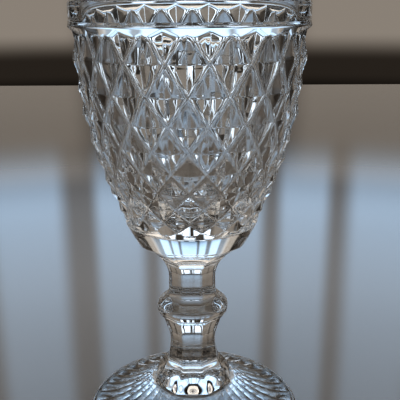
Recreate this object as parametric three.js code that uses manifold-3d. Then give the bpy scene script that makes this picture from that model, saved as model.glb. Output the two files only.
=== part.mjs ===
// A clear pressed-glass goblet: a diamond-point bowl, an eight-sided stem with one knop,
// a bell-shaped collar and a ribbed foot. The pieces stand on one another along +Z and
// meet at flat fused faces. The origin is the middle of the base, and the front faces -Y.
import * as THREE from "three";
import { mergeVertices } from "three/addons/utils/BufferGeometryUtils.js";
import Module from "manifold-3d";

// Driving dimensions, in millimetres. The radius of an eight-sided piece is measured
// to the middle of a panel.
const panelCount = 8;

const footRadius = 43.2;
const footEdgeHeight = 2.2;     // height of the widest ring
const footRimWidth = 1.2;       // smooth border outside the ribs
const footRimRise = 1;          // from the widest ring up to the ribs
const footHeight = 15.4;        // seat of the collar
const footDomePower = 1.75;     // 1 is a straight cone
const ribCount = 36;
const ribDepth = 0.5;
const standingRadius = 40.6;    // outer edge of the flat ring that stands on the table
const standingWidth = 4;
const hollowDepth = 11.5;       // under the foot
const hollowTipRadius = 11;     // how far out its round top reaches
const hollowPower = 1.5;        // 1 has straight sides, more bends them in like a bell
const seatMargin = 0.4;         // flat seat outside the collar's corners

const collarRadius = 15.2;
const collarHeight = 10.6;

const stemBaseRadius = 9.8;     // joint of stem and collar
const lowerNeckRadius = 8.85;
const lowerNeckRise = 8.4;      // above the collar
const knopCreaseRadius = 11.5;
const knopCreaseRise = 9.3;     // above the lower neck
const lowerNeckPower = 1.5;     // how late the lower neck bends out to the crease
const knopRadius = 14.15;       // round, where the panels fade out
const knopRise = 4.4;           // above the crease under it
const knopFade = 8;             // from the knop up and down to the full panels
const knopEase = 1.01;          // turned radius over the panels' radius, at the knop
const upperNeckRadius = 9.1;
const upperNeckRise = 5.8;      // above the knop
const upperNeckLength = 7.2;
const flareHeight = 17.4;       // hollow arc from the upper neck out to the bowl
const flareReach = 26.5;
const flareRise = 5.5;          // joint of stem and bowl, above the start of the arc

const bowlHeight = 98.4;        // rim above the joint
const bandTopRadius = 42.2;     // over the points of the diamonds
const rimStand = 0.6;           // rim outside the points
const rimHeight = 9.1;          // from the bead up to the lip
const beadStand = 0.9;          // bead outside the points
const beadHeight = 3.4;         // bead and the cove under it, and the ease above it
const bandEndRadius = 25.8;
const bandEndRise = 18.7;       // above the joint
const bandPower = 2.05;         // how late the band curves in
const diamondCount = 18;
const diamondRows = 9;          // half diamonds from top to bottom
const diamondDepth = 2.3;       // from a point down to the grooves, at the top
const diamondEndDepth = 1.5;    // and at the end of the band
const wall = 1.4;               // between the grooves and the inside, at the mouth
const pitchTaper = 0.5;         // last row's height over the first row's
const undersideRadius = 25.35;
const undersideRise = 17.1;     // above the joint
const creaseRadius = 19;        // where the panels of the stem cut the underside
const creaseRise = 5.4;         // above the joint
const undersidePower = 1.06;
const baseThickness = 18.4;     // from the joint up to the inside of the bowl
const insidePower = 2.15;       // 2 is an ellipse, more is squarer

// Heights of the joints above the table
const collarTop = footHeight + collarHeight;
const lowerNeckZ = collarTop + lowerNeckRise;
const knopCreaseZ = lowerNeckZ + knopCreaseRise;
const knopZ = knopCreaseZ + knopRise;
const upperNeckZ = knopZ + upperNeckRise;
const flareStart = upperNeckZ + upperNeckLength;
const stemTop = flareStart + flareRise;
const rimTop = stemTop + bowlHeight;

// Radii that follow the band of diamonds
const rimRadius = bandTopRadius + rimStand;
const beadRadius = bandTopRadius + beadStand;
const mouthRadius = bandTopRadius - diamondDepth - wall;

// A panel's middle is nearer the axis than its corners by this factor
const panelFactor = Math.cos(Math.PI / panelCount);

// Steps of the round stretches
const curveSteps = 8;
const lipSteps = 6;
const insideSteps = 10;
const undersideSteps = 6;
const roundSteps = 48;
const ribSteps = 5;
const hollowSteps = 6;

const wasm = await Module();
wasm.setup();

function glass() {
  return new THREE.MeshStandardMaterial({ color: 0xdde4e8, roughness: 0.06, metalness: 0 });
}

// Points from one [radius, height] to the next, without the last. The radius has gone
// ease(t) of its way at t of the height
function run(from, to, steps, ease) {
  const points = [];
  for (let k = 0; k < steps; k++) {
    const share = ease(k / steps);
    points.push([from[0] + (to[0] - from[0]) * share, from[1] + ((to[1] - from[1]) * k) / steps]);
  }
  return points;
}

// Ways to go: half a cosine wave, quick and then slow, and slow and then quick
const waved = (t) => (1 - Math.cos(Math.PI * t)) / 2;
const rounded = (t) => 1 - (1 - t) ** 2;
const hollowed = (t) => t ** lowerNeckPower;

// The hollow arc of the flare: radius to a panel's middle at a height above its start
function flareAt(rise) {
  return upperNeckRadius + flareReach * (1 - Math.sqrt(1 - (rise / flareHeight) ** 2));
}

// A solid with this many sides and one to the front, from the outline of its corners,
// bottom to top
function sided(outline, count) {
  const low = outline[0][1];
  const high = outline.at(-1)[1];
  const corners = outline.map(([radius, z]) => new THREE.Vector2(radius, z));
  const profile = [new THREE.Vector2(0, low), ...corners, new THREE.Vector2(0, high)];
  return new THREE.LatheGeometry(profile, count, Math.PI / count).rotateX(Math.PI / 2);
}

// An eight-sided solid, from the outline of its panels' middles
function panelled(outline) {
  return sided(outline.map(([radius, z]) => [radius / panelFactor, z]), panelCount);
}

// A ring of points, its columns counted from the front. radiusOf and heightOf take a column
function ring(count, radiusOf, heightOf) {
  const points = [];
  for (let i = 0; i < count; i++) {
    const turn = (2 * Math.PI * i) / count;
    const radius = radiusOf(i);
    points.push([radius * Math.sin(turn), -radius * Math.cos(turn), heightOf(i)]);
  }
  return points;
}

function roundRing(count, radius, z) {
  return ring(count, () => radius, () => z);
}

// A closed solid through rings listed from the bottom, up the outside, to the top.
// A ring of one point closes an end. Each quad is split along its deeper diagonal,
// so that grooves stay sharp.
function solidFromRings(rings) {
  const positions = rings.flat(2);
  const middle = (p, q) => Math.hypot(p[0] + q[0], p[1] + q[1]);
  const indices = [];
  let start = 0;
  for (let k = 0; k + 1 < rings.length; k++) {
    const lower = rings[k];
    const upper = rings[k + 1];
    const upperStart = start + lower.length;
    const count = Math.max(lower.length, upper.length);
    for (let i = 0; i < count; i++) {
      const j = (i + 1) % count;
      const a = lower.length > 1 ? i : 0;
      const b = lower.length > 1 ? j : 0;
      const c = upper.length > 1 ? j : 0;
      const d = upper.length > 1 ? i : 0;
      if (lower.length === 1) {
        indices.push(start, upperStart + c, upperStart + d);
      } else if (upper.length === 1) {
        indices.push(start + a, start + b, upperStart);
      } else if (middle(lower[b], upper[d]) < middle(lower[a], upper[c])) {
        indices.push(start + a, start + b, upperStart + d, start + b, upperStart + c, upperStart + d);
      } else {
        indices.push(start + a, start + b, upperStart + c, start + a, upperStart + c, upperStart + d);
      }
    }
    start = upperStart;
  }
  const geometry = new THREE.BufferGeometry();
  geometry.setAttribute("position", new THREE.Float32BufferAttribute(positions, 3));
  geometry.setIndex(indices);
  return geometry;
}

function toSolid(geometry) {
  const bare = geometry.clone();
  bare.deleteAttribute("normal");
  bare.deleteAttribute("uv");
  const merged = mergeVertices(bare);
  const corners = merged.index.array;
  const kept = [];
  for (let t = 0; t < corners.length; t += 3) {
    const [a, b, c] = corners.slice(t, t + 3);
    if (a !== b && b !== c && c !== a) kept.push(a, b, c);
  }
  const vertProperties = Float32Array.from(merged.attributes.position.array);
  const triVerts = Uint32Array.from(kept);
  return new wasm.Manifold(new wasm.Mesh({ numProp: 3, vertProperties, triVerts }));
}

function fromSolid(solid) {
  const { vertProperties, triVerts } = solid.getMesh();
  const geometry = new THREE.BufferGeometry();
  geometry.setAttribute("position", new THREE.BufferAttribute(vertProperties, 3));
  geometry.setIndex(new THREE.BufferAttribute(triVerts, 1));
  return geometry;
}

// Foot: a ribbed dome over a flat standing ring and a shallow hollow
function footGeometry() {
  const columns = 2 * ribCount;
  const seatRadius = collarRadius / panelFactor + seatMargin;
  const ribOuter = footRadius - footRimWidth;
  const ribStart = footEdgeHeight + footRimRise;
  const hollowRadius = standingRadius - standingWidth;

  // The hollow is a power of a cone with a round tip
  function hollowAt(radius) {
    const reach = Math.hypot(hollowRadius, hollowTipRadius);
    const share = (reach - Math.hypot(radius, hollowTipRadius)) / (reach - hollowTipRadius);
    return hollowDepth * share ** hollowPower;
  }

  const rings = [[[0, 0, hollowDepth]]];
  for (let k = 1; k < hollowSteps; k++) {
    const radius = (hollowRadius * k) / hollowSteps;
    rings.push(roundRing(columns, radius, hollowAt(radius)));
  }
  rings.push(roundRing(columns, hollowRadius, 0));
  for (let k = 0; k <= 2; k++) {
    const turn = (Math.PI / 2) * (k / 2);
    const out = standingRadius + (footRadius - standingRadius) * Math.sin(turn);
    rings.push(roundRing(columns, out, footEdgeHeight * (1 - Math.cos(turn))));
  }
  rings.push(roundRing(columns, ribOuter, ribStart));
  for (let k = 0; k <= ribSteps; k++) {
    const share = (k + 0.5) / (ribSteps + 1);
    const radius = ribOuter + (seatRadius - ribOuter) * share;
    const z = ribStart + (footHeight - ribStart) * share ** footDomePower;
    rings.push(ring(columns, () => radius, (i) => z + (i % 2 ? -ribDepth / 2 : ribDepth / 2)));
  }
  rings.push(roundRing(columns, seatRadius, footHeight), [[0, 0, footHeight]]);
  return solidFromRings(rings);
}

// Collar: a bell from the foot's seat up to the stem
function collarGeometry() {
  const seat = [collarRadius, footHeight];
  const joint = [stemBaseRadius, collarTop];
  return panelled([...run(seat, joint, curveSteps, waved), joint]);
}

// Stem: lower neck, knop, upper neck and the start of the flare
function stemGeometry() {
  const base = [stemBaseRadius, collarTop];
  const lowerNeck = [lowerNeckRadius, lowerNeckZ];
  const crease = [knopCreaseRadius, knopCreaseZ];
  const knop = [knopRadius, knopZ];
  const upperNeck = [upperNeckRadius, upperNeckZ];
  const outline = [
    ...run(base, lowerNeck, curveSteps / 2, rounded),
    ...run(lowerNeck, crease, curveSteps, hollowed),
    ...run(crease, knop, curveSteps / 2, rounded),
    ...run(knop, upperNeck, curveSteps, waved),
    upperNeck,
  ];
  for (let k = 0; k <= curveSteps / 2; k++) {
    const rise = (flareRise * k) / (curveSteps / 2);
    outline.push([flareAt(rise), flareStart + rise]);
  }

  // Turning takes the corners off the knop, and clears the full panels above and below it
  const clear = knopEase ** 5 / panelFactor;
  const turned = outline.map(([radius, z]) => {
    const away = Math.min(1, Math.abs(z - knopZ) / knopFade);
    return [radius * (knopEase + (clear - knopEase) * away), z];
  });
  return fromSolid(toSolid(panelled(outline)).intersect(toSolid(sided(turned, roundSteps))));
}

// Bowl: a round body with diamonds, cut below by the eight panels of the flare
function bowlGeometry() {
  const columns = 2 * diamondCount;
  const beadZ = rimTop - rimHeight;
  const bandTop = beadZ - beadHeight / 2;
  const bandEnd = stemTop + bandEndRise;
  const undersideTop = stemTop + undersideRise;
  const creaseDepth = undersideRise - creaseRise;

  function undersideAt(z) {
    const share = (undersideTop - z) / creaseDepth;
    return undersideRadius - (undersideRadius - creaseRadius) * share ** undersidePower;
  }

  // Rows get shorter at a steady rate from the top of the band to its end
  function rowHeight(row) {
    const shrink = (1 - pitchTaper) / (diamondRows - 1);
    const reach = (n) => n - (shrink * n * (n - 1)) / 2;
    return bandTop - ((bandTop - bandEnd) * reach(row)) / reach(diamondRows);
  }

  // Points and groove crossings take turns along a row and from row to row
  function diamondRing(row) {
    const z = rowHeight(row);
    const share = (bandTop - z) / (bandTop - bandEnd);
    const point = bandTopRadius - (bandTopRadius - bandEndRadius) * share ** bandPower;
    const depth = diamondDepth + (diamondEndDepth - diamondDepth) * share;
    return ring(columns, (i) => ((i + row) % 2 ? point : point - depth), () => z);
  }

  // The round underside runs on below the joint, where the panels cut it off
  const overrun = flareRise / 2;
  const rings = [[[0, 0, stemTop - overrun]]];
  for (let k = 0; k < undersideSteps; k++) {
    const z = stemTop - overrun + ((undersideRise + overrun) * k) / undersideSteps;
    rings.push(roundRing(columns, undersideAt(z), z));
  }
  rings.push(roundRing(columns, undersideRadius, undersideTop));
  for (let row = diamondRows; row >= 0; row--) {
    rings.push(diamondRing(row));
  }
  rings.push(roundRing(columns, beadRadius, beadZ));
  rings.push(roundRing(columns, rimRadius, beadZ + beadHeight / 2));

  // A half-round lip, then the smooth inside down to its lowest point
  const lip = (rimRadius - mouthRadius) / 2;
  const lipZ = rimTop - lip;
  for (let k = 0; k <= lipSteps; k++) {
    const turn = (Math.PI * k) / lipSteps;
    rings.push(roundRing(columns, rimRadius - lip + lip * Math.cos(turn), lipZ + lip * Math.sin(turn)));
  }
  const insideFloor = stemTop + baseThickness;
  for (let k = 1; k < insideSteps; k++) {
    const turn = ((Math.PI / 2) * k) / insideSteps;
    const radius = mouthRadius * Math.cos(turn) ** (2 / insidePower);
    const drop = (lipZ - insideFloor) * Math.sin(turn) ** (2 / insidePower);
    rings.push(roundRing(columns, radius, lipZ - drop));
  }
  rings.push([[0, 0, insideFloor]]);

  // The panels' envelope: the flare's arc, then straight out and up past the rim
  const envelope = [];
  for (let k = 0; k < curveSteps; k++) {
    const rise = flareRise + ((flareHeight - flareRise) * k) / curveSteps;
    envelope.push([flareAt(rise), flareStart + rise]);
  }
  envelope.push([flareAt(flareHeight), flareStart + flareHeight]);
  const wide = 2 * beadRadius;
  envelope.push([wide, flareStart + flareHeight + lip], [wide, rimTop + lip]);
  return fromSolid(toSolid(solidFromRings(rings)).intersect(toSolid(panelled(envelope))));
}

const goblet = new THREE.Group();
const pieces = {
  foot: footGeometry(),
  collar: collarGeometry(),
  stem: stemGeometry(),
  bowl: bowlGeometry(),
};
for (const [name, geometry] of Object.entries(pieces)) {
  const mesh = new THREE.Mesh(geometry, glass());
  mesh.name = name;
  goblet.add(mesh);
}

export default goblet;
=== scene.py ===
import math

import bpy
import numpy as np
from mathutils import Matrix, Vector


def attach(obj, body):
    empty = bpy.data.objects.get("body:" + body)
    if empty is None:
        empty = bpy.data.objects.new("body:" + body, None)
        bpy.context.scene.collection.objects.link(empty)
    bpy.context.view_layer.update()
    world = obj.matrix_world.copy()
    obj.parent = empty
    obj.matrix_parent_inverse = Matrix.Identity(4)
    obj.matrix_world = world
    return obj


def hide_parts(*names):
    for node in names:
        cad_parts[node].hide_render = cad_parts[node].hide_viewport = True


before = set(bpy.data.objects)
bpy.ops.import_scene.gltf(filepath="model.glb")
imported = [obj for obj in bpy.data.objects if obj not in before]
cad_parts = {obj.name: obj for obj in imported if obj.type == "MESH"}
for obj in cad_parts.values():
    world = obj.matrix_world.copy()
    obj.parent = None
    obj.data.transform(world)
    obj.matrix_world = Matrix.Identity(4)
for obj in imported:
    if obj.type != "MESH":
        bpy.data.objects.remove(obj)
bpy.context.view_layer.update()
scene = bpy.context.scene
print("frame loaded:", ", ".join(sorted(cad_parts)))

mm = 0.001  # in the scene's metres

# camera, in mm and degrees, facing the side of the glass towards -Y
viewpoint = {
    "distance": 237.0, "height": 159.5, "around": 1.5,
    "tilt": 16.1, "aside": 0.78, "roll": 0.31, "lens": 57.69, "sensor": 36.0,
}


def placeCamera(v):
    around = math.radians(v["around"])
    data = bpy.data.cameras.new("viewpoint")
    data.sensor_width, data.lens = v["sensor"], v["lens"]
    data.clip_start, data.clip_end = 0.01, 50.0
    cam = bpy.data.objects.new("viewpoint", data)
    scene.collection.objects.link(cam)
    spot = Vector((math.sin(around), -math.cos(around), 0)) * v["distance"]
    spot.z = v["height"]
    cam.matrix_world = (
        Matrix.Translation(spot * mm)
        @ Matrix.Rotation(around - math.radians(v["aside"]), 4, "Z")
        @ Matrix.Rotation(math.radians(90 - v["tilt"]), 4, "X")
        @ Matrix.Rotation(math.radians(-v["roll"]), 4, "Z"))
    scene.camera = cam


placeCamera(viewpoint)
print("camera placed")


# nodes: inputs may be values or the output sockets of other nodes
def addNode(tree, kind, inputs=None, **settings):
    made = tree.nodes.new(kind)
    for key, value in settings.items():
        setattr(made, key, value)
    for key, value in (inputs or {}).items():
        if isinstance(value, bpy.types.NodeSocket):
            tree.links.new(value, made.inputs[key])
        else:
            made.inputs[key].default_value = value
    return made


def maths(tree, operation, first, second=0.0, third=0.0):
    made = addNode(tree, "ShaderNodeMath", {0: first, 1: second, 2: third}, operation=operation)
    return made.outputs[0]


# from 0 to 1 as the value goes from start to end, slow at both
def smoothRamp(tree, value, start, end):
    return addNode(
        tree, "ShaderNodeMapRange", {"Value": value, "From Min": start, "From Max": end},
        interpolation_type="SMOOTHSTEP").outputs[0]


# colour by factor from the first to the second
def mixTint(tree, factor, first, second):
    made = addNode(
        tree, "ShaderNodeMix", {"Factor": factor, 6: (*first, 1), 7: (*second, 1)}, data_type="RGBA")
    return made.outputs[2]


# studio light: a dim room with far soft panels, each a rectangle of directions with soft edges
tones = {
    "wood": (1.0, 0.84, 0.70), "linen": (1.0, 0.92, 0.83), "plain": (0.97, 0.99, 1.02),
    "pale": (0.83, 0.94, 1.06), "sky": (0.58, 0.85, 1.15),
}
studio = {
    "room": (0.016, 0.014, 0.012),
    "panels": [  # degrees round from +Y, half width, low and high edge, softness each way; glow, tone
        ((0,), 181, (-5.6, 11), (1, 1.6), 0.028, "wood"),
        ((-22, 19), 12, (-2.6, 14), (5, 2.4), 0.18, "linen"),
        ((180,), 100, (-2.6, 12.5), (30, 2.4), 0.14, "linen"),
        ((-7.6, -1.4, 4.8), 1.7, (-4.5, 9.5), (0.9, 2), 1.0, "pale"),
        ((0,), 26, (14, 39), (6, 7), 0.26, "pale"),
        ((0,), 26, (20, 39), (6, 8), 0.1, "pale"),
        ((-31, 31), 6, (13.5, 39), (4, 6), 0.36, "linen"),
        ((-16.5, 16.1), 3.2, (13.5, 39), (2, 7), 0.52, "sky"),
        ((0.3,), 4.8, (13.5, 39), (1.5, 7), 0.52, "sky"),
        ((-8.2, 8.9), 2.2, (13.5, 39), (1.5, 7), 0.52, "sky"),
        ((-27, 27), 7, (38, 64), (4, 6), 0.3, "plain"),
        ((-62, 62), 12, (12, 40), (8, 6), 0.12, "pale"),
        ((-90, 90), 10, (12, 40), (8, 6), 0.4, "pale"),
        ((-135, 135, 180), 18, (12, 40), (8, 6), 0.48, "pale"),
    ],
    "softbox": {"height": 0.6, "back": 0.12, "size": 0.7, "power": 0.95, "tone": "linen"},
    "look": "Very High Contrast", "bounces": 40, "glossyBounces": 12,
}


# a panel's light: feathered distance inside its four edges, from 0 to 1 each way
def panelGlow(tree, around, height, panel):
    middles, half, (low, high), (softSide, softEdge), glow, _ = panel
    off = 360.0
    for middle in middles:
        turn = maths(tree, "WRAP", maths(tree, "SUBTRACT", around, middle), 180, -180)
        off = maths(tree, "MINIMUM", maths(tree, "ABSOLUTE", turn), off)
    across = smoothRamp(tree, off, half + softSide / 2, half - softSide / 2)
    inside = maths(
        tree, "MINIMUM", maths(tree, "SUBTRACT", height, low), maths(tree, "SUBTRACT", high, height))
    tall = smoothRamp(tree, inside, -softEdge / 2, softEdge / 2)
    return maths(tree, "MULTIPLY", maths(tree, "MULTIPLY", across, tall), glow)


def hangPanels(s):
    world = bpy.data.worlds.new("studio")
    scene.world = world
    world.use_nodes = True
    tree = world.node_tree
    tree.nodes.clear()
    way = addNode(tree, "ShaderNodeTexCoord").outputs["Generated"]
    x, y, z = addNode(tree, "ShaderNodeSeparateXYZ", {0: way}).outputs
    inDegrees = 180 / math.pi
    around = maths(tree, "MULTIPLY", maths(tree, "ARCTAN2", x, y), inDegrees)
    height = maths(tree, "MULTIPLY", maths(tree, "ARCSINE", z), inDegrees)
    total = addNode(tree, "ShaderNodeBackground", {"Color": (*s["room"], 1)}).outputs[0]
    for panel in s["panels"]:
        shine = addNode(tree, "ShaderNodeBackground", {
            "Color": (*tones[panel[-1]], 1),
            "Strength": panelGlow(tree, around, height, panel)}).outputs[0]
        total = addNode(tree, "ShaderNodeAddShader", {0: total, 1: shine}).outputs[0]
    addNode(tree, "ShaderNodeOutputWorld", {"Surface": total})


# a softbox over the glass, facing down, with its sizes in m
def hangSoftbox(b):
    data = bpy.data.lights.new("softbox", "AREA")
    data.size, data.energy, data.color = b["size"], b["power"], tones[b["tone"]]
    box = bpy.data.objects.new("softbox", data)
    scene.collection.objects.link(box)
    box.location = (0, b["back"], b["height"])


# light goes through many walls of glass before it reaches the camera
def setLook(s):
    scene.view_settings.view_transform = "Standard"
    scene.view_settings.look = s["look"]
    scene.cycles.max_bounces = s["bounces"]
    scene.cycles.transmission_bounces = s["bounces"]
    scene.cycles.transparent_max_bounces = s["bounces"]
    scene.cycles.glossy_bounces = s["glossyBounces"]


hangPanels(studio)
hangSoftbox(studio["softbox"])
setLook(studio)
print("studio light hung")

# floor: a plain pale polished table top with eight sides, its reach in m
floorFinish = {
    "reach": 1.3, "sides": 8, "pale": (0.42, 0.37, 0.325), "darker": (0.39, 0.345, 0.305),
    "cloudScale": 6.0, "cloudDetail": 3.0, "roughness": 0.08, "polish": 1.0,
}


def layFloor(f):
    half = np.pi / f["sides"]
    turn = half * np.arange(1, 2 * f["sides"], 2)
    points = f["reach"] / np.cos(half) * np.stack([np.cos(turn), np.sin(turn), 0 * turn], axis=1)
    mesh = bpy.data.meshes.new("floor")
    mesh.from_pydata(points.tolist(), [], [range(f["sides"])])
    floor = bpy.data.objects.new("floor", mesh)
    scene.collection.objects.link(floor)
    skin = bpy.data.materials.new("pale_floor")
    skin.use_nodes = True
    tree = skin.node_tree
    place = addNode(tree, "ShaderNodeTexCoord").outputs["Object"]
    cloud = addNode(tree, "ShaderNodeTexNoise", {
        "Vector": place, "Scale": f["cloudScale"], "Detail": f["cloudDetail"]}).outputs["Fac"]
    body = tree.nodes["Principled BSDF"]
    tree.links.new(mixTint(tree, cloud, f["darker"], f["pale"]), body.inputs["Base Color"])
    body.inputs["Roughness"].default_value = f["roughness"]
    body.inputs["Coat Weight"].default_value = f["polish"]
    mesh.materials.append(skin)


layFloor(floorFinish)
print("floor laid")


# effect groups shared by the glass materials
def effectGroup(name, inputs, outputs):
    group = bpy.data.node_groups.new(name, "ShaderNodeTree")
    for label, kind, value in inputs:
        socket = group.interface.new_socket(label, in_out="INPUT", socket_type=kind)
        if value is not None:
            socket.default_value = value
    for label, kind in outputs:
        group.interface.new_socket(label, in_out="OUTPUT", socket_type=kind)
    return group, addNode(group, "NodeGroupInput").outputs, addNode(group, "NodeGroupOutput").inputs


# ripple: height in metres of the slow waves that a mould leaves in cooling glass
def makeRipple():
    group, given, out = effectGroup("coolingRipple", [
        ("Place", "NodeSocketVector", None), ("Waves", "NodeSocketFloat", 90.0),
        ("Height", "NodeSocketFloat", 1e-5)], [("Relief", "NodeSocketFloat")])
    slow = addNode(group, "ShaderNodeTexNoise", {
        "Vector": given["Place"], "Scale": given["Waves"], "Detail": 1.5}).outputs["Fac"]
    group.links.new(maths(group, "MULTIPLY", slow, given["Height"]), out["Relief"])
    return group


# smudges: roughness from a polished value up to a handled one, in soft patches
def makeSmudge():
    group, given, out = effectGroup("handledSmudge", [
        ("Place", "NodeSocketVector", None), ("Patch", "NodeSocketFloat", 45.0),
        ("Polished", "NodeSocketFloat", 0.0), ("Handled", "NodeSocketFloat", 0.03)],
        [("Roughness", "NodeSocketFloat"), ("Mask", "NodeSocketFloat")])
    patch = addNode(group, "ShaderNodeTexNoise", {
        "Vector": given["Place"], "Scale": given["Patch"], "Detail": 4.0}).outputs["Fac"]
    mask = smoothRamp(group, patch, 0.5, 0.72)
    rough = addNode(group, "ShaderNodeMapRange", {
        "Value": mask, "To Min": given["Polished"], "To Max": given["Handled"]}).outputs[0]
    group.links.new(rough, out["Roughness"])
    group.links.new(mask, out["Mask"])
    return group


rippleGroup, smudgeGroup = makeRipple(), makeSmudge()

# waves and patches per metre, the waves' height in m, and the roughness where hands were
glassFinish = {
    "bowlGlass": {"waves": 85.0, "height": 1.2e-5, "patch": 40.0, "handled": 0.02},
    "stemGlass": {"waves": 140.0, "height": 8e-6, "patch": 70.0, "handled": 0.015},
    "footGlass": {"waves": 110.0, "height": 1e-5, "patch": 55.0, "handled": 0.02},
}
glassTint = {"clear": (0.985, 0.992, 0.994), "smudged": (0.955, 0.962, 0.966), "ior": 1.52}


def makeGlass(name, g):
    glass = bpy.data.materials.new(name)
    glass.use_nodes = True
    tree = glass.node_tree
    place = addNode(tree, "ShaderNodeTexCoord").outputs["Object"]
    ripple = addNode(tree, "ShaderNodeGroup", node_tree=rippleGroup)
    smudge = addNode(tree, "ShaderNodeGroup", node_tree=smudgeGroup)
    tree.links.new(place, ripple.inputs["Place"])
    tree.links.new(place, smudge.inputs["Place"])
    ripple.inputs["Waves"].default_value = g["waves"]
    ripple.inputs["Height"].default_value = g["height"]
    smudge.inputs["Patch"].default_value = g["patch"]
    smudge.inputs["Handled"].default_value = g["handled"]
    tint = mixTint(tree, smudge.outputs["Mask"], glassTint["clear"], glassTint["smudged"])
    bump = addNode(tree, "ShaderNodeBump", {
        "Height": ripple.outputs["Relief"], "Strength": 1.0, "Distance": 1.0})
    body = tree.nodes["Principled BSDF"]
    tree.links.new(tint, body.inputs["Base Color"])
    tree.links.new(smudge.outputs["Roughness"], body.inputs["Roughness"])
    tree.links.new(bump.outputs["Normal"], body.inputs["Normal"])
    body.inputs["Transmission Weight"].default_value = 1.0
    body.inputs["IOR"].default_value = glassTint["ior"]
    return glass


# fused joints inside the glass have no boundary, so their faces let everything through
def makeFused():
    fused = bpy.data.materials.new("fusedJoint")
    fused.use_nodes = True
    tree = fused.node_tree
    tree.nodes.clear()
    through = addNode(tree, "ShaderNodeBsdfTransparent").outputs[0]
    addNode(tree, "ShaderNodeOutputMaterial", {"Surface": through})
    return fused


glassOf = {name: makeGlass(name, g) for name, g in glassFinish.items()}
fusedJoint = makeFused()
print("glass mixed")


# a piece from rings of points in mm, rows by columns: each quad is cut along its deeper diagonal,
# and a fan of glass or a fused face closes each end
def ringPiece(name, rings, material, startEnd, finishEnd):
    rows, columns = rings.shape[:2]
    width = np.hypot(rings[..., 0], rings[..., 1]).ravel()
    a = np.arange(rows * columns).reshape(rows, columns)
    b = np.roll(a, -1, 1)
    quads = np.stack([v.ravel() for v in (a[:-1], b[:-1], b[1:], a[1:])], -1)
    low, lowNext, highNext, high = quads.T
    rising = (width[low] + width[highNext] <= width[lowNext] + width[high])[:, None]
    faces = [
        np.where(rising, quads[:, [0, 1, 2]], quads[:, [0, 1, 3]]),
        np.where(rising, quads[:, [0, 2, 3]], quads[:, [1, 2, 3]])]
    fusedFaces = []
    points = [rings.reshape(-1, 3), rings[[0, -1]].mean(1)]
    startFan = np.stack([b[0], a[0], np.full(columns, rows * columns)], -1)
    finishFan = np.stack([a[-1], b[-1], np.full(columns, rows * columns + 1)], -1)
    for end, fan in ((startEnd, startFan), (finishEnd, finishFan)):
        (fusedFaces if end == "fused" else faces).append(fan)
    glassCount = sum(len(f) for f in faces)
    allFaces = np.vstack(faces + fusedFaces)
    mesh = bpy.data.meshes.new(name)
    mesh.from_pydata(np.vstack(points) * mm, [], allFaces)
    isFused = np.arange(len(allFaces)) >= glassCount
    mesh.polygons.foreach_set("use_smooth", ~isFused)
    mesh.materials.append(material)
    if fusedFaces:
        mesh.materials.append(fusedJoint)
        mesh.polygons.foreach_set("material_index", isFused.astype(np.int32))
    mesh.update()
    piece = bpy.data.objects.new(name, mesh)
    scene.collection.objects.link(piece)
    print(name, "has", len(allFaces), "triangles")
    return piece


def settle(piece, node):
    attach(piece, "root")
    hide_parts(node)


# point at (r, turn, z), with turn 0 at -Y and growing towards +X
def turned(radius, turn, height):
    radius, turn, height = np.broadcast_arrays(radius, turn, height)
    return np.stack([radius * np.sin(turn), -radius * np.cos(turn), height], -1)


panelCount = 8


# eight-sided section: the apothem over the p-norm of the turn's cosines to the panel middles
def panelled(apothem, turn, sharpness=60.0):
    panels = np.arange(panelCount) * 2 * np.pi / panelCount
    near = np.maximum(np.cos(np.asarray(turn)[..., None] - panels), 1e-6)
    power = np.asarray(sharpness)[..., None]
    return apothem / (near ** power).sum(-1) ** (1 / sharpness)


# radius by height: from station to station, 1 - (1 - t^a)^b of the way, with a and b of the lower
# station
def runProfile(height, stations):
    places, radii, slow, quick = np.array(stations, float).T
    k = np.clip(np.searchsorted(places, height, side="right") - 1, 0, len(places) - 2)
    t = np.clip((height - places[k]) / (places[k + 1] - places[k]), 0, 1)
    return radii[k] + (radii[k + 1] - radii[k]) * (1 - (1 - t ** slow[k]) ** quick[k])


# radius on the straight line through two rings
def coneRadius(height, ends):
    (z0, r0), (z1, r1) = ends
    return r0 + (r1 - r0) * (height - z0) / (z1 - z0)


# smaller of two values, less a parabola of the gap between them where they meet
def softMin(first, second, blend):
    gap = np.maximum(blend - np.abs(first - second), 0) / blend
    return np.minimum(first, second) - gap * gap * blend / 4


def softMax(first, second, blend):
    return -softMin(-first, -second, blend)


# columns: shares of a spacing that crowd towards both its ends, so that they fall on the edges of
# the diamonds and on the grooves of the ribs
diamondCount = 18
halfPitch = np.pi / diamondCount
crowded = np.array([0, 0.035, 0.1, 0.19, 0.29, 0.395, 0.5, 0.605, 0.71, 0.81, 0.9, 0.965])
bandTurn = ((np.arange(2 * diamondCount)[:, None] + crowded).ravel()) * np.pi / diamondCount
stemColumns = 160
stemTurn = np.arange(stemColumns) * 2 * np.pi / stemColumns

stemForm = {
    "foot": 26.0, "top": 66.6, "rings": 121,
    "stations": [  # height, radius, a, b: foot, lower neck, crease, knop, upper neck, flare
        (26.0, 9.8, 1, 2), (34.4, 8.85, 1.5, 1), (43.7, 11.5, 0.9, 2), (48.1, 14.15, 1.75, 2.2),
        (53.9, 9.15, 1, 1), (61.1, 9.05, 1, 1)],
    "flareRise": 17.4, "flareReach": 26.5,
    "panelEdge": 60.0, "knopEdge": 12.0, "knopMiddle": 47.0, "knopHalf": 5.0,
    "seam": 0.10, "seamWidth": 0.35,
}


# flare: the neck's radius plus what a quarter of an ellipse gives up
def flareApothem(height, s=stemForm):
    start, neck = s["stations"][-1][:2]
    rise = np.clip((height - start) / s["flareRise"], 0, 1)
    return neck + s["flareReach"] * (1 - np.sqrt(1 - rise ** 2))


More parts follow.
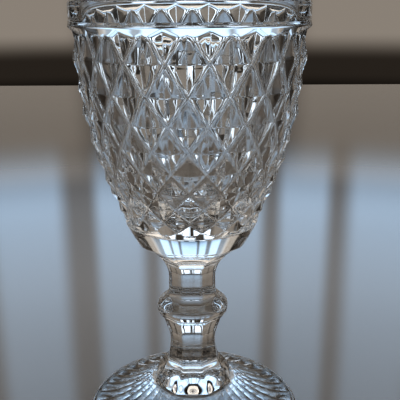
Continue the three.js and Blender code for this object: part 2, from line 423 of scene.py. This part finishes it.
# mould seam: a fine ridge down the front and the back, a bell curve of the way round
def seamRidge(radius, turn, s=stemForm):
    off = radius * np.abs(np.sin(turn)) / s["seamWidth"]
    return s["seam"] * np.exp(-off * off)


# stem: the panelled section with its apothem run through the stations, then the flare, and with
# edges that soften towards the knop
def stemRings(height, turn, s):
    apothem = np.where(
        height > s["stations"][-1][0], flareApothem(height), runProfile(height, s["stations"]))
    knop = np.exp(-((height - s["knopMiddle"]) / s["knopHalf"]) ** 4)
    radius = panelled(apothem, turn, s["panelEdge"] + (s["knopEdge"] - s["panelEdge"]) * knop)
    return turned(radius + seamRidge(radius, turn), turn, height)


def drawStem(s):
    share = np.linspace(0, 1, s["rings"])
    height = (s["foot"] + (s["top"] - s["foot"]) * share)[:, None]
    rings = stemRings(height, stemTurn[None, :], s)
    return ringPiece("stem_glass", rings, glassOf["stemGlass"], "fused", "fused")


bowlForm = {  # in mm, with heights above the table; pairs are a height and a radius
    "joint": 66.6, "floor": 85.0, "top": 165.0,
    "bandTop": 154.2, "bandTopRadius": 42.2, "bandDrop": 17.2, "bandFall": 70.4, "bandPower": 2.05,
    "rowOne": 145.0, "pitch": 10.2, "pitchLoss": 0.391, "lastRow": 9, "tail": 9.36, "topRow": 0.27,
    "depthShare": (0.055, 0.058), "groove": 0.16, "ridge": 0.05,  # shares of the radius and the cell
    "topCone": [(153.9, 40.8), (155.8, 43.0)], "lowCone": [(85.3, 24.75), (83.7, 25.34)],
    "under": (83.7, 25.36, 6.4, 11.7, 1.063),  # start, radius, loss, fall, power
    "crease": 0.5, "round": 0.8,
    "bead": [(155.8, 43.0), (156.2, 43.1), (156.7, 43.05), (157.15, 42.88), (157.5, 42.8)],
    "lip": 163.35, "mouth": 38.4, "mouthPower": 2.15, "mouthFlare": 0.75, "flareFrom": 151.6,
    "underRings": 36, "tailRings": 5, "topRings": 12, "lipRings": 13, "insideRings": 38,
}


# diamond band: a pyramid of height 1 - |dc| - |dv| on each cell of the diagonal lattice, with round
# grooves between the cells and flat sides across, on a profile that falls from the bead as a power
# of the depth
def bandRadius(turn, row, height, b):
    column = turn * diamondCount / np.pi
    p, q = (column + row) / 2, (column - row) / 2
    aside = np.abs(column - np.floor(p) - np.floor(q) - 1)
    w = b["groove"]
    near = np.stack([2 * np.abs(p - np.round(p)), 2 * np.abs(q - np.round(q))])
    near = np.where(near < w, w / 2 + near * near / (2 * w), near)
    rise = softMin(near[0], near[1], b["ridge"])
    fall = np.clip((b["bandTop"] - height) / b["bandFall"], 0, None)
    crest = b["bandTopRadius"] - b["bandDrop"] * fall ** b["bandPower"]
    chord = halfPitch ** 2 / 2 * aside * (1 - aside)
    depth = b["depthShare"][0] + (b["depthShare"][1] - b["depthShare"][0]) * fall
    return crest * (1 - depth * (1 - rise) - chord)


# underside: a round bowl that gives up radius as a power of the depth, cut by the panelled flare
def undersideRadius(turn, height, b):
    start, radius, loss, fall, power = b["under"]
    bowl = radius - loss * (np.clip(start - height, 0, None) / fall) ** power
    return softMin(bowl + 0 * turn, panelled(flareApothem(height), turn), b["crease"])


# inside: a superellipse from the floor to the mouth, opening a little at the rim
def insideProfile(b):
    depth = b["lip"] - b["floor"]
    angle = np.linspace(0, 1, b["insideRings"]) * np.pi / 2
    radius = b["mouth"] * np.maximum(np.cos(angle), 0) ** (2 / b["mouthPower"])
    height = b["lip"] - depth * np.sin(angle) ** (2 / b["mouthPower"])
    opening = np.clip((height - b["flareFrom"]) / (b["lip"] - b["flareFrom"]), 0, 1) ** 2
    return radius + b["mouthFlare"] * opening, height


# rows of the band from its tail up, crowded at the edges of the diamonds and finer in the last row
def bandRows(b):
    tail = np.linspace(b["tail"], b["lastRow"], b["tailRings"], endpoint=False)
    up = (b["lastRow"] - np.arange(b["lastRow"])[:, None] - crowded).ravel()
    return np.concatenate([tail, up[:-4], np.linspace(b["topRow"], 0, b["topRings"])])[:, None]


# bowl: underside and band, held between the cones at its ends, then the bead, half an ellipse for
# the lip, and the inside down to its floor
def blowBowl(b):
    turn = bandTurn[None, :]
    low = np.linspace(b["joint"], b["lowCone"][1][0], b["underRings"])[:, None]
    under = undersideRadius(turn, low, b)
    row = bandRows(b)
    high = b["rowOne"] - b["pitch"] * (row - 1) + b["pitchLoss"] * (row - 1) * (row - 2)
    band = softMax(bandRadius(turn, row, high, b), coneRadius(high, b["topCone"]), b["round"])
    band = np.maximum(band, coneRadius(high, b["lowCone"]))
    band = np.minimum(band, b["bead"][0][1])
    insideRadius, insideHeight = insideProfile(b)
    rimOuter = b["bead"][-1][1]
    centre, half = (rimOuter + insideRadius[0]) / 2, (rimOuter - insideRadius[0]) / 2
    over = np.linspace(0, np.pi, b["lipRings"])
    beadHeight, beadRadius = np.array(b["bead"][1:]).T
    lipHeight = b["lip"] + (b["top"] - b["lip"]) * np.sin(over)
    lipRadius = centre + half * np.cos(over)
    smoothRadius = np.concatenate([beadRadius, lipRadius, insideRadius[1:-1]])[:, None]
    smoothHeight = np.concatenate([beadHeight, lipHeight, insideHeight[1:-1]])[:, None]
    rings = np.concatenate([
        turned(under, turn, low), turned(band, turn, high),
        turned(smoothRadius, turn, smoothHeight)])
    return ringPiece("bowl_glass", rings, glassOf["bowlGlass"], "fused", "pole")


collarForm = {
    "seat": 15.4, "top": 26.0, "seatRadius": 15.2, "topRadius": 9.8, "fullness": 0.88, "rings": 49,
}


# collar: a panelled bell, half a cosine from its top to its seat
def pressCollar(c):
    share = np.linspace(1, 0, c["rings"])[:, None]
    height = c["top"] - (c["top"] - c["seat"]) * share
    bell = 1 - np.cos(np.pi * share ** c["fullness"])
    apothem = c["topRadius"] + (c["seatRadius"] - c["topRadius"]) * bell / 2
    turn = stemTurn[None, :]
    rings = turned(panelled(apothem, turn), turn, height)
    return ringPiece("collar_glass", rings, glassOf["stemGlass"], "fused", "fused")


footForm = {
    "edge": 43.2, "edgeHeight": 2.2, "rimWidth": 1.2, "rimRise": 1.0, "height": 15.4,
    "domePower": 1.75, "seat": 16.85, "ribs": 36, "ribDepth": 0.36, "ribStart": 0.03, "ribEnd": 0.04,
    "standing": 40.6, "standingWidth": 4.0, "standingInset": 1.0,
    "hollow": 11.5, "hollowTip": 0.3, "hollowPower": 1.5, "airGap": 0.12,
    "hollowRings": 36, "edgeRings": 9, "domeRings": 34,
}


# foot: a dome that rises as a power of the way in, with convex ribs deepest at the edge, over a
# rounded edge and a standing ring, and a hollow that is a power of a cone with a round tip
def spreadFoot(f):
    turn = bandTurn[None, :]
    wave = bandTurn * f["ribs"] / (2 * np.pi)
    rib = 4 * (wave - np.floor(wave) - 0.5) ** 2
    shoulder, crown = f["edge"] - f["rimWidth"], f["edgeHeight"] + f["rimRise"]
    inner = f["standing"] - f["standingWidth"]
    reach, cap = np.linspace(0.03, 1, f["hollowRings"]), np.hypot(1, f["hollowTip"])
    hollow = (cap - np.hypot(reach, f["hollowTip"])) / (cap - f["hollowTip"])
    quarter = np.linspace(0, np.pi / 2, f["edgeRings"])
    profile = np.concatenate([
        np.stack([inner * reach, f["hollow"] * hollow ** f["hollowPower"]], -1),
        [(f["standing"] - f["standingInset"], 0.0)],
        np.stack([f["standing"] + (f["edge"] - f["standing"]) * np.sin(quarter),
                  f["edgeHeight"] * (1 - np.cos(quarter))], -1),
        np.stack([shoulder + f["rimWidth"] * np.cos(quarter[1:]),
                  f["edgeHeight"] + f["rimRise"] * np.sin(quarter[1:])], -1),
    ])
    profile[:, 1] = np.maximum(profile[:, 1], f["airGap"])
    plain = turned(profile[:, :1], turn, profile[:, 1:])
    way = np.concatenate([[0.004, 0.012, 0.025], np.linspace(0.045, 1, f["domeRings"])])[:, None]
    radius = shoulder + (f["seat"] - shoulder) * way
    height = crown + (f["height"] - crown) * way ** f["domePower"]
    fade = np.clip(way / f["ribStart"], 0, 1) * np.clip((1 - way) / f["ribEnd"], 0, 1)
    dome = turned(radius, turn, height - f["ribDepth"] * radius / shoulder * rib * fade)
    octagon = panelled(collarForm["seatRadius"], turn)
    seat = turned(octagon, turn, np.full((1, 1), f["height"]))
    rings = np.concatenate([plain, dome, seat])
    return ringPiece("foot_glass", rings, glassOf["footGlass"], "pole", "fused")


settle(blowBowl(bowlForm), "bowl")
settle(drawStem(stemForm), "stem")
settle(pressCollar(collarForm), "collar")
settle(spreadFoot(footForm), "foot")
print("glass pieces made")
